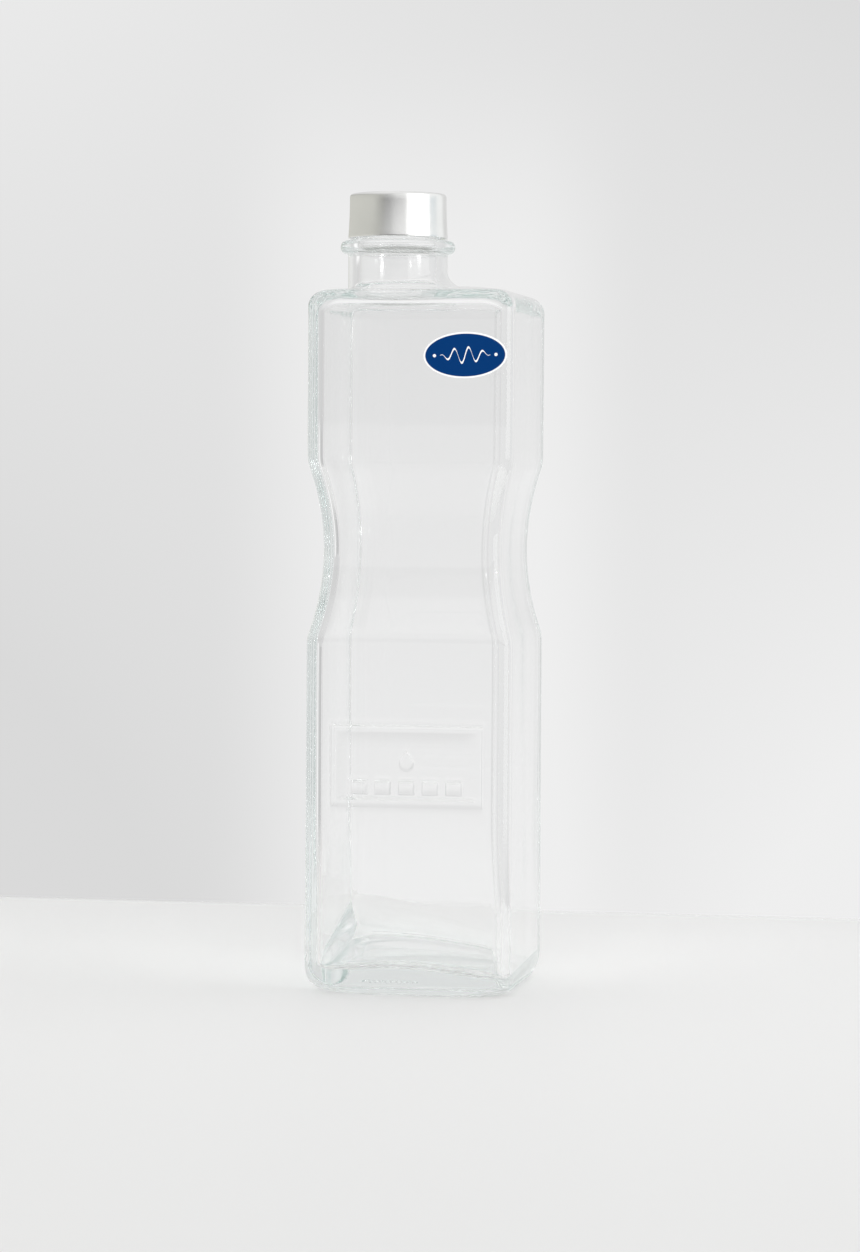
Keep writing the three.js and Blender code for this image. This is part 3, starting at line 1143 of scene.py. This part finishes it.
    @staticmethod
    def uneven_wall(
        tree: NodeTree, shape: TreeNode, given: SimpleNamespace, share: Signal, seed: NodeSocket
    ) -> TreeNode:
        """Let the hollow's wall run in and out in long upright waves, as blown glass does.

        Args:
            tree: The geometry group.
            shape: The node that gives the bottle.
            given: The group's sizes.
            share: How much of the waves shows at each height.
            seed: Their seed.

        Returns:
            The node that gives the uneven bottle.
        """
        scale = add_node(tree, "ShaderNodeCombineXYZ", X=1.0, Y=1.0, Z=given.wave_stretch)
        position = tree.nodes.new("GeometryNodeInputPosition")
        place = add_node(tree, "ShaderNodeVectorMath", operation="MULTIPLY", Vector=position)
        plug(tree, scale, place.inputs[1])
        noise = tree.nodes.new("ShaderNodeTexNoise")
        noise.noise_dimensions = "4D"
        for label, value in {"Vector": place, "W": seed, "Scale": given.wave_scale, "Detail": 0.0}.items():
            plug(tree, value, noise.inputs[label])
        hollow = add_node(tree, "GeometryNodeInputNamedAttribute", data_type="FLOAT", Name="hollow")
        inner = Signal(tree, hollow.outputs["Attribute"]) * share
        amount = (Signal(tree, noise.outputs["Fac"]) - 0.5) * 2.0 * given.unevenness * inner * MM
        normal = tree.nodes.new("GeometryNodeInputNormal")
        push = add_node(tree, "ShaderNodeVectorMath", operation="SCALE", Vector=normal, Scale=amount)
        return add_node(tree, "GeometryNodeSetPosition", Geometry=shape, Offset=push)

    def build(self, glass: Material) -> Object:
        """Build and dress the bottle.

        Args:
            glass: Its finish.

        Returns:
            The finished piece.
        """
        piece = place_object("glass_bottle", self.skin())
        shape_by_nodes(piece, self.relief_tree(), {"Material": glass})
        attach(piece, ROOT)
        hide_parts(Node.BOTTLE.value)
        return piece


# The cap


@dataclass
class ScrewCap:
    """The drawn aluminium cap: one profile turned about the neck's axis."""

    axis_x: float
    radius: float
    low_z: float
    high_z: float
    wall: float = 1.1
    top: float = 1.2
    edge_radius: float = 1.3
    rim_roll: float = 0.25
    flare: float = 0.55
    segments: int = 160
    skirt_steps: int = 9
    crease: float = 0.02
    crown_gap: float = 0.1
    inner_ring: float = 6.0
    weld: float = 0.001

    def profile(self) -> list[Point]:
        """Draw the closed profile from the middle of the top, round the skirt, to the middle inside.

        Returns:
            The radius and height of each point.
        """
        crown = self.radius - self.flare
        skirt_high = self.high_z - self.edge_radius
        skirt_low = self.low_z + 2 * self.rim_roll
        flat = crown - self.edge_radius
        points = [(radius, self.high_z) for radius in (0.0, self.radius * 0.5, flat - self.crown_gap)]
        points += arc((flat, skirt_high), self.edge_radius, self.edge_radius, np.linspace(90, 0, 9))
        for share in shares(self.skirt_steps)[:-1]:
            points.append((crown + self.flare * share**2, skirt_high + (skirt_low - skirt_high) * share))
        points.append((self.radius - self.crease, skirt_low + self.rim_roll))
        rim = (self.radius - self.wall / 2, self.low_z + self.rim_roll)
        points += arc(rim, self.wall / 2, self.rim_roll, np.linspace(0, -180, 9))
        inside, ceiling = self.radius - self.wall, self.high_z - self.top
        return points + [(inside, self.low_z + self.inner_ring), (inside, ceiling), (0.0, ceiling)]

    def turning_tree(self) -> NodeTree:
        """Build the tree that turns a profile about an upright axis.

        Returns:
            The geometry group.
        """
        inputs = {"Geometry": ("Geometry", None), "Points": ("Int", 10), "Segments": ("Int", 64)}
        inputs |= {"Axis": ("Vector", (0.0, 0.0, 0.0)), "Material": ("Material", None)}
        outputs = {"Geometry": "Geometry"}
        tree, source, sink = new_group("turned_shell", TreeKind.GEOMETRY, inputs, outputs)
        given = source.outputs
        segments = Signal(tree, given["Segments"])
        rows = segments + 1.0
        grid = add_node(tree, "GeometryNodeMeshGrid", Vertices_X=given["Points"], Vertices_Y=rows)
        index = Signal(tree, tree.nodes.new("GeometryNodeInputIndex").outputs["Index"])
        along = (index / rows).math("FLOOR")
        turn = (index - along * rows) / segments * (2.0 * math.pi)
        sample = add_node(
            tree,
            "GeometryNodeSampleIndex",
            data_type="FLOAT_VECTOR",
            Geometry=given["Geometry"],
            Value=tree.nodes.new("GeometryNodeInputPosition"),
            Index=along,
        )
        radius, _, height = split_xyz(tree, sample)
        x, y = radius * turn.math("COSINE"), radius * turn.math("SINE")
        place = add_node(tree, "ShaderNodeCombineXYZ", X=x, Y=y, Z=height)
        axis = given["Axis"]
        moved = add_node(tree, "GeometryNodeSetPosition", Geometry=grid, Position=place, Offset=axis)
        weld = self.weld * MM
        closed = add_node(tree, "GeometryNodeMergeByDistance", Geometry=moved, Distance=weld)
        smooth = add_node(tree, "GeometryNodeSetShadeSmooth", Geometry=closed)
        end_shape(tree, source, sink, smooth)
        return tree

    def build(self, metal: Material) -> Object:
        """Build and dress the cap.

        Args:
            metal: Its finish.

        Returns:
            The finished piece.
        """
        line = bpy.data.meshes.new("screw_cap")
        vertices = [(radius * MM, 0.0, z * MM) for radius, z in self.profile()]
        line.from_pydata(vertices, [(i, i + 1) for i in range(len(vertices) - 1)], [])
        piece = place_object("screw_cap", line)
        values = {"Points": len(vertices), "Segments": self.segments, "Material": metal}
        values["Axis"] = (self.axis_x * MM, 0.0, 0.0)
        shape_by_nodes(piece, self.turning_tree(), values)
        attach(piece, ROOT)
        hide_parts(Node.CAP.value)
        return piece


# The label


@dataclass
class OvalLabel:
    """The oval sticker on the front face, printed in front and plain behind."""

    centre_x: float
    centre_z: float
    back_y: float
    front_y: float
    width: float = 31.5
    height: float = 17.2
    tilt: float = 1.2
    edge_round: float = 0.04
    core: float = 0.125
    steps: int = 144

    def ring(self, inset: float, y: float) -> np.ndarray:
        """Draw one oval.

        Args:
            inset: How far inside the label's outline it lies.
            y: Its depth.

        Returns:
            One row of x, y and z for each point.
        """
        angle = np.linspace(0.0, 2 * math.pi, self.steps, endpoint=False)
        across = (self.width / 2 - inset) * np.cos(angle)
        up = (self.height / 2 - inset) * np.sin(angle)
        lean = math.radians(self.tilt)
        x = self.centre_x + across * math.cos(lean) - up * math.sin(lean)
        z = self.centre_z + across * math.sin(lean) + up * math.cos(lean)
        return np.stack([x, np.full(self.steps, y), z], axis=1)

    def build(self, face: Material, back: Material) -> Object:
        """Build and dress the label.

        Args:
            face: The finish of its printed side and edge.
            back: The finish of the side against the glass.

        Returns:
            The finished piece.
        """
        soft, core = self.edge_round, self.width * self.core
        places = [(core, self.back_y), (0.0, self.back_y), (0.0, self.front_y + soft)]
        places += [(soft, self.front_y), (core, self.front_y)]
        mesh = bpy.data.meshes.new("oval_label")
        shape = bmesh.new()
        rows = [[shape.verts.new(Vector(point) * MM) for point in self.ring(*place)] for place in places]
        for low, high in zip(rows, rows[1:]):
            for i in range(self.steps):
                after = (i + 1) % self.steps
                shape.faces.new([low[i], low[after], high[after], high[i]])
        shape.faces.new(rows[0][::-1])
        shape.faces.new(rows[-1])
        bmesh.ops.recalc_face_normals(shape, faces=shape.faces)
        for surface in shape.faces:
            surface.material_index = 1 if surface.normal.y > 0.5 else 0
        shape.to_mesh(mesh)
        shape.free()
        mesh.materials.append(face)
        mesh.materials.append(back)
        piece = place_object("oval_label", mesh)
        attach(piece, ROOT)
        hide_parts(Node.LABEL.value)
        return piece


# The studio


@dataclass(frozen=True)
class PhotoCamera:
    """The camera that took the picture, as its fit to the bottle's outlines gives it."""

    turn: float = 10.54
    pitch: float = 2.10
    roll: float = 0.37
    distance: float = 1514.7
    aim_across: float = -1.34
    aim_z: float = 137.24
    lens: float = 113.78
    film: float = 36.0
    nearest: float = 50.0

    def build(self) -> None:
        """Set up the camera and make it the scene's own."""
        turn, pitch, roll = (math.radians(angle) for angle in (self.turn, self.pitch, self.roll))
        level = math.cos(pitch)
        right = Vector((math.cos(turn), math.sin(turn), 0.0))
        ahead = Vector((-math.sin(turn) * level, math.cos(turn) * level, -math.sin(pitch)))
        up = right.cross(ahead)
        place = Vector((0.0, 0.0, self.aim_z)) - ahead * self.distance - right * self.aim_across
        right_leant = right * math.cos(roll) + up * math.sin(roll)
        up_leant = up * math.cos(roll) - right * math.sin(roll)
        data = bpy.data.cameras.new("photo_camera")
        data.lens = self.lens
        data.sensor_width = self.film
        data.sensor_fit = "AUTO"
        data.clip_start = self.nearest * MM
        camera = place_object("photo_camera", data)
        axes = Matrix((right_leant, up_leant, -ahead)).transposed()
        camera.matrix_world = Matrix.Translation(place * MM) @ axes.to_4x4()
        bpy.context.scene.camera = camera


@dataclass(frozen=True)
class StudioAir:
    """The light from all round, and what the camera sees behind the bottle.

    The light has one tone for each of the six directions, blended smoothly. Over it lie a dark flag and a
    bright strip on the left, and the lit wall behind the bottle. The camera sees a plain backdrop that
    drifts in tone, with a painted halo of light round the bottle.
    """

    backdrop: float = 0.77
    darkest: float = 0.70
    lightest: float = 0.86
    drift: float = 7.0
    middle: float = -0.183
    widest: float = 0.13
    # Painted halo of light on the backdrop: its strength, its half width and core, and the heights between
    # which it fades out upwards.
    halo: float = 0.085
    halo_half: float = 0.056
    halo_core: float = 0.02
    halo_top: float = 0.12
    halo_full: float = 0.05
    level: float = 0.05
    wall: float = 0.82
    wall_drift: float = 0.6
    wall_darkest: float = 0.77
    wall_lightest: float = 0.87
    wall_turn: float = 10.5
    wall_from: float = 35.0
    wall_to: float = 17.0
    right: float = 0.80
    left: float = 0.66
    back: float = 0.68
    front: float = 0.62
    above: float = 0.95
    below: float = 0.74
    flag_turn: float = -80.0
    flag_half: float = 18.0
    flag: float = 0.54
    strip_turn: float = -118.0
    strip_half: float = 10.0
    strip: float = 1.05
    card_core: float = 0.4
    card_top: float = 0.02
    card_soft: float = 0.012

    def build(self) -> None:
        """Build the world."""
        world = bpy.data.worlds.new("studio_air")
        bpy.context.scene.world = world
        world.use_nodes = True
        tree = world.node_tree
        tree.nodes.clear()
        coordinates = tree.nodes.new("ShaderNodeTexCoord")
        x, y, z = split_xyz(tree, coordinates.outputs["Generated"])
        around = self.share(x, self.right, self.left) + self.share(y, self.back, self.front)
        around = around + self.share(z, self.above, self.below)
        azimuth = x.math("ARCTAN2", y * -1.0) * math.degrees(1.0)
        for middle, half, tone in (
            (self.flag_turn, self.flag_half, self.flag),
            (self.strip_turn, self.strip_half, self.strip),
        ):
            inside = (azimuth - middle).size().fade(half, half * self.card_core)
            inside = inside * z.fade(self.card_top, self.card_top - self.card_soft)
            around = around + inside * (around * -1.0 + tone)
        turn = math.radians(self.wall_turn)
        ahead = y * math.cos(turn) - x * math.sin(turn)
        edge, core = (math.cos(math.radians(angle)) for angle in (self.wall_from, self.wall_to))
        wall = (z * -self.wall_drift + self.wall).most(self.wall_darkest).least(self.wall_lightest)
        around = around + ahead.fade(edge, core) * (wall - around)
        offset = x - self.middle
        across = offset.most(-self.widest).least(self.widest)
        # Painted halo: a soft glow of light painted on the backdrop round the bottle's axis, seen only by the
        # camera.
        halo = offset.size().fade(self.halo_half, self.halo_core) * z.fade(self.halo_top, self.halo_full)
        view = across * (z * -1.0 + self.level) * self.drift + halo * self.halo + self.backdrop
        view = view.most(self.darkest).least(self.lightest)
        light = tree.nodes.new("ShaderNodeLightPath")
        seen = Signal(tree, light.outputs["Is Camera Ray"])
        strength = around * seen.rest() + seen * view
        glow = add_node(tree, "ShaderNodeBackground", Color=WHITE, Strength=strength)
        plug(tree, glow, tree.nodes.new("ShaderNodeOutputWorld").inputs["Surface"])

    @staticmethod
    def share(part: Signal, ahead: float, behind: float) -> Signal:
        """Give one axis's share of the light, from the tones at its positive and negative ends."""
        tone = part.math("GREATER_THAN", 0.0) * (ahead - behind) + behind
        return part.squared() * tone


@dataclass(frozen=True)
class SoftBox:
    """A soft rectangular light that looks at the bottle, or at one collection of pieces alone."""

    name: str
    azimuth: float
    elevation: float
    distance: float
    width: float
    height: float
    radiance: float
    aim_z: float = 150.0
    in_reflections: bool = True
    only_on: Collection | None = None

    # The watts that one square metre of lamp needs for one unit of radiance.
    WATTS = 4.0

    def build(self) -> None:
        """Hang the light."""
        turn, tip = math.radians(self.azimuth), math.radians(self.elevation)
        level = math.cos(tip)
        back = Vector((math.sin(turn) * level, -math.cos(turn) * level, math.sin(tip)))
        data = bpy.data.lights.new(self.name, "AREA")
        data.shape = "RECTANGLE"
        data.size = self.width * MM
        data.size_y = self.height * MM
        data.energy = self.WATTS * self.radiance * self.width * self.height * MM * MM
        lamp = place_object(self.name, data)
        place = Vector((0.0, 0.0, self.aim_z)) + back * self.distance
        lamp.matrix_world = Matrix.Translation(place * MM) @ back.to_track_quat("Z", "Y").to_matrix().to_4x4()
        lamp.visible_camera = False
        lamp.visible_glossy = self.in_reflections
        lamp.visible_transmission = False
        if self.only_on:
            lamp.light_linking.receiver_collection = self.only_on


@dataclass(frozen=True)
class ToneCard:
    """A plain card beside the picture, which only polished surfaces mirror."""

    name: str
    azimuth: float
    width: float
    low: float
    high: float
    tone: Color
    soft: float = 0.4
    soft_above: float = 0.4
    lean: float = 0.0
    darkening: float = 0.0
    distance: float = 700.0
    level: float = 295.0

    CORNERS = ((-1.0, -1.0), (1.0, -1.0), (1.0, 1.0), (-1.0, 1.0))
    UNSEEN_BY = ("camera", "diffuse", "transmission", "volume_scatter", "shadow")

    def build(self) -> None:
        """Stand the card up round the cap's height."""
        material, tree, output = new_material(self.name)
        place = add_node(tree, "ShaderNodeAttribute", attribute_name="place")
        across, up, _ = split_xyz(tree, place.outputs["Vector"])
        solid = across.fade(-1.0, self.soft - 1.0) * (across + up * self.lean).fade(1.0, 1.0 - self.soft)
        solid = solid * up.fade(1.0, 1.0 - self.soft_above)
        glow = add_node(tree, "ShaderNodeEmission", Color=self.tone, Strength=up * -self.darkening + 1.0)
        clear = tree.nodes.new("ShaderNodeBsdfTransparent")
        plug(tree, mix_shaders(tree, solid, clear, glow), output.inputs["Surface"])
        turn = math.radians(self.azimuth)
        out = Vector((math.sin(turn), -math.cos(turn), 0.0)) * self.distance
        side = Vector((math.cos(turn), math.sin(turn), 0.0))
        half = self.distance * math.tan(math.radians(self.width / 2))
        low, high = (self.distance * math.tan(math.radians(angle)) for angle in (self.low, self.high))
        rise = {-1.0: Vector((0.0, 0.0, self.level + low)), 1.0: Vector((0.0, 0.0, self.level + high))}
        points = [(out + side * half * way + rise[end]) * MM for way, end in self.CORNERS]
        mesh = bpy.data.meshes.new(self.name)
        mesh.from_pydata(points, [], [(0, 1, 2, 3)])
        where = mesh.attributes.new("place", "FLOAT_VECTOR", "POINT")
        where.data.foreach_set("vector", [value for corner in self.CORNERS for value in (*corner, 0.0)])
        mesh.materials.append(material)
        card = place_object(self.name, mesh)
        for rays in self.UNSEEN_BY:
            setattr(card, f"visible_{rays}", False)


@dataclass(frozen=True)
class PaleTable:
    """The plain pale surface that the bottle stands on. It fades into the backdrop at its edges."""

    tone: Color = (0.80, 0.80, 0.795, 1.0)
    roughness: float = 0.6
    radius: float = 900.0
    sides: int = 96
    rim: float = 20.0
    fade_from: float = 500.0
    back_edge: float = 263.0
    back_soft: float = 6.0
    gap: float = 0.06

    def build(self) -> None:
        """Lay the table."""
        mesh = bpy.data.meshes.new("pale_table")
        shape = bmesh.new()
        bmesh.ops.create_circle(shape, cap_ends=True, radius=self.radius * MM, segments=self.sides)
        bmesh.ops.translate(shape, verts=shape.verts, vec=(0.0, 0.0, -self.gap * MM))
        shape.to_mesh(mesh)
        shape.free()
        material, tree, output = new_material("pale_table")
        coordinates = tree.nodes.new("ShaderNodeTexCoord")
        x, y, _ = split_xyz(tree, coordinates.outputs["Object"])
        solid = (x.span(y) / MM).fade(self.radius - self.rim, self.fade_from)
        solid = solid * (y / MM).fade(self.back_edge + self.back_soft, self.back_edge - self.back_soft)
        surface = add_node(tree, "ShaderNodeBsdfPrincipled", Base_Color=self.tone, Roughness=self.roughness)
        clear = tree.nodes.new("ShaderNodeBsdfTransparent")
        plug(tree, mix_shaders(tree, solid, clear, surface), output.inputs["Surface"])
        mesh.materials.append(material)
        place_object("pale_table", mesh)


BOXES = (
    SoftBox("window", 60, 14, 4500, 4500, 3900, radiance=1.04),
    SoftBox("fill", 10, 15, 4500, 4000, 2000, radiance=1.5, in_reflections=False),
    SoftBox("pool", 75, 76, 520, 300, 300, radiance=1.0, aim_z=0, in_reflections=False),
)
CARDS = (
    ToneCard("front_card", -5, 94, -6, 9, (0.03, 0.03, 0.032, 1.0), soft=0.85, soft_above=0.85, lean=1.5),
    ToneCard("left_card", -92, 150, -12, 30, (0.6, 0.6, 0.56, 1.0), soft=0.35, darkening=0.35),
    ToneCard("right_card", 101, 30, -10, 8, (0.64, 0.71, 0.75, 1.0), soft=0.5),
    ToneCard("glow_card", 13, 54, 4.5, 30, (0.95, 0.95, 0.95, 1.0), soft=0.8, distance=900),
    ToneCard("side_card", 118, 56, -30, 50, (0.97, 0.98, 0.98, 1.0), soft=0.3, distance=900),
)


def report(piece: Object) -> None:
    """Log what a finished piece is called and how many faces it has."""
    log.info("%s: %d faces", piece.name, len(piece.data.polygons))


def main() -> None:
    """Build the camera, the studio and every piece of the bottle."""
    logging.basicConfig(level=logging.INFO, format="%(name)s: %(message)s")
    scene = bpy.context.scene
    scene.view_settings.view_transform = "Standard"
    for rays in ("max", "glossy", "transmission"):
        setattr(scene.cycles, f"{rays}_bounces", BOUNCES)
    for thing in (PhotoCamera(), StudioAir(), *BOXES, *CARDS, PaleTable()):
        thing.build()

    low, high = node_box(Node.BOTTLE)
    bottle = GlassBottle(width=high.x - low.x)
    piece = bottle.build(ClearGlass().build())
    report(piece)
    glass_only = bpy.data.collections.new("glass_only")
    glass_only.objects.link(piece)
    SoftBox("left_spark", -27, 2.7, 1000, 110, 9, radiance=420.0, aim_z=280, only_on=glass_only).build()
    SoftBox("right_spark", 60, 2.25, 1000, 130, 10, radiance=750.0, aim_z=280, only_on=glass_only).build()

    low, high = node_box(Node.CAP)
    cap = ScrewCap(axis_x=(low.x + high.x) / 2, radius=(high.x - low.x) / 2, low_z=low.z, high_z=high.z)
    report(cap.build(SatinAluminium().build()))

    low, high = node_box(Node.LABEL)
    label = OvalLabel((low.x + high.x) / 2, (low.z + high.z) / 2, back_y=high.y, front_y=low.y)
    finish = LabelPrint((label.centre_x, label.centre_z), label.width, label.height, label.tilt)
    report(label.build(finish.build(), PaperBack().build()))


if __name__ == "__main__":
    main()
